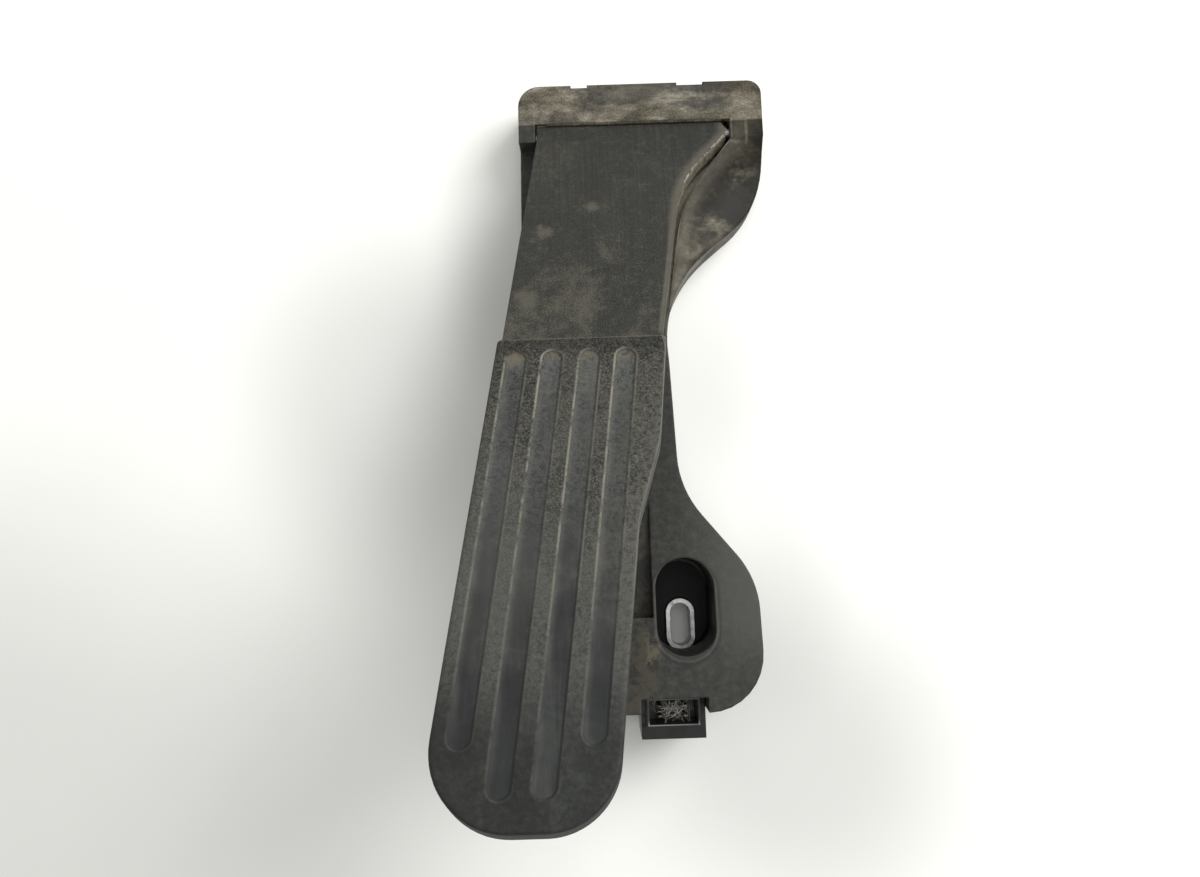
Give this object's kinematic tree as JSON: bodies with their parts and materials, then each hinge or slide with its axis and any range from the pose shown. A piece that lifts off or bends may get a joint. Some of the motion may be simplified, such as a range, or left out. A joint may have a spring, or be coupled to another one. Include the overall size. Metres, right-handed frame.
{
  "type": "accelerator pedal module",
  "caption": "Floor-hinged accelerator pedal: a ribbed plate with a grooved tread pad turns on a moulded housing and pushes a sprung sensor lever.",
  "frame": {"origin": "on the rear mounting face, straight below the hinge axis, at the pedal's middle line", "axes": "+X along the hinge, to the right as seen from the driver with the hinge at the top of the view; +Y from the free end towards the hinge; +Z out of the mounting face towards the driver"},
  "size_m": [0.128, 0.2836, 0.1387],
  "materials": {
    "housing_plastic": "black glass-filled moulding, dusty and scuffed",
    "plate_plastic": "black glass-filled moulding, worn satin",
    "pad_plastic": "black moulded tread, worn grey, dust in the grooves",
    "cover_plastic": "fine grained black moulding",
    "inner_plastic": "plain black moulding",
    "connector_plastic": "glossy black moulding",
    "seal_rubber": "soft black cord seal",
    "buffer_rubber": "black moulded rubber",
    "zinc_steel": "zinc plated",
    "bush_steel": "zinc plated, dulled",
    "pin_steel": "ground",
    "spring_steel": "oiled spring wire",
    "terminal_metal": "tin plated",
    "board_laminate": "green laminate",
    "bearing_bronze": "sintered bronze",
    "friction_lining": "brown friction lining",
    "sintered_magnet": "dark sintered"
  },
  "bodies": {
    "base": {"housing": "housing_plastic", "rear_cover": "cover_plastic", "cover_seal": "seal_rubber", "cover_screws": "zinc_steel", "mounting_bush": "bush_steel", "hinge_pin": "pin_steel", "sensor_housing": "connector_plastic", "terminal_pins": "terminal_metal", "sensor_board": "board_laminate", "shaft_bushes": "bearing_bronze", "friction_disc": "friction_lining", "wave_washer": "spring_steel", "lower_spring_seat": "inner_plastic", "outer_spring": "spring_steel", "inner_spring": "spring_steel", "rest_buffer": "buffer_rubber", "kickdown_buffer": "buffer_rubber"},
    "pedal": {"pedal_plate": "plate_plastic", "tread_pad": "pad_plastic"},
    "lever": {"drive_lever": "inner_plastic", "lever_shaft": "pin_steel", "upper_spring_seat": "inner_plastic", "magnet_carrier": "inner_plastic", "sensor_magnet": "sintered_magnet", "retaining_ring": "spring_steel"}
  },
  "joints": [
    {"name": "pedal_hinge", "type": "hinge", "parent": "base", "child": "pedal", "pos_m": [0, 0, 0.015], "axis": [1, 0, 0], "range_deg": [0, 15], "stiffness_Nm_per_rad": 6, "springref_deg": -20.05},
    {"name": "lever_pivot", "type": "hinge", "parent": "base", "child": "lever", "pos_m": [-0.022, -0.192, 0.028], "axis": [1, 0, 0], "range_deg": [-19.8, 0], "deforming": ["outer_spring", "inner_spring"]}
  ],
  "couplings": [
    {"joint": "lever_pivot", "follows": "pedal_hinge", "ratio": -1.3}
  ]
}
